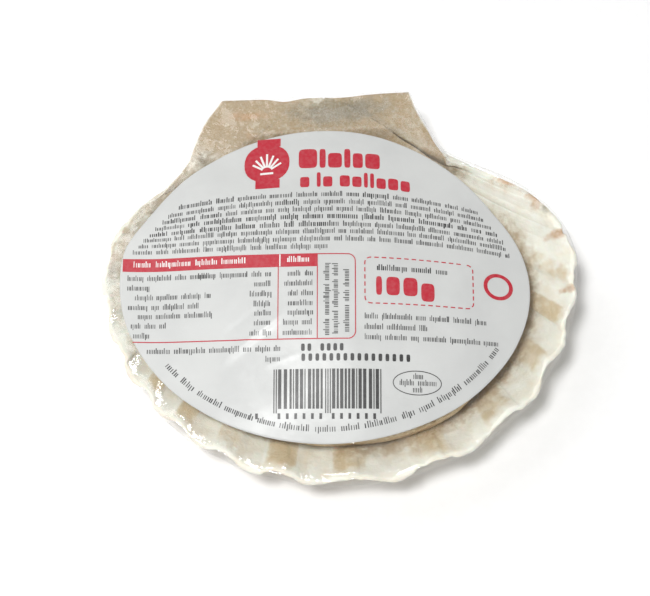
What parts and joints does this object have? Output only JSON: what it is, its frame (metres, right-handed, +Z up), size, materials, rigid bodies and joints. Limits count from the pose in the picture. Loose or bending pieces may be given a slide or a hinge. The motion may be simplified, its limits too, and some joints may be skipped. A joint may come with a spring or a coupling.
{
  "type": "filled scallop in its half shell, sealed in clear film with a label",
  "caption": "Deep ribbed scallop half shell heaped with filling, sealed under clear film with an oval label, lying on its back.",
  "frame": {"origin": "middle of the flat spot under the back, on which the shell rests", "axes": "+X along the hinge line, +Y towards the hinge, +Z up, away from what it rests on"},
  "size_m": [0.1241, 0.1057, 0.035],
  "materials": {
    "shell": "cream and tan shell, satin, darker bands across the ribs",
    "filling": "tan crumbed filling with chopped onion and prawn-pink flecks",
    "film": "clear shrink film, glossy and wrinkled",
    "label": "glossy white label with red and black bars for print, softly creased"
  },
  "bodies": {
    "root": {"shell": "shell", "filling": "filling", "film": "film", "label": "label"}
  },
  "joints": []
}
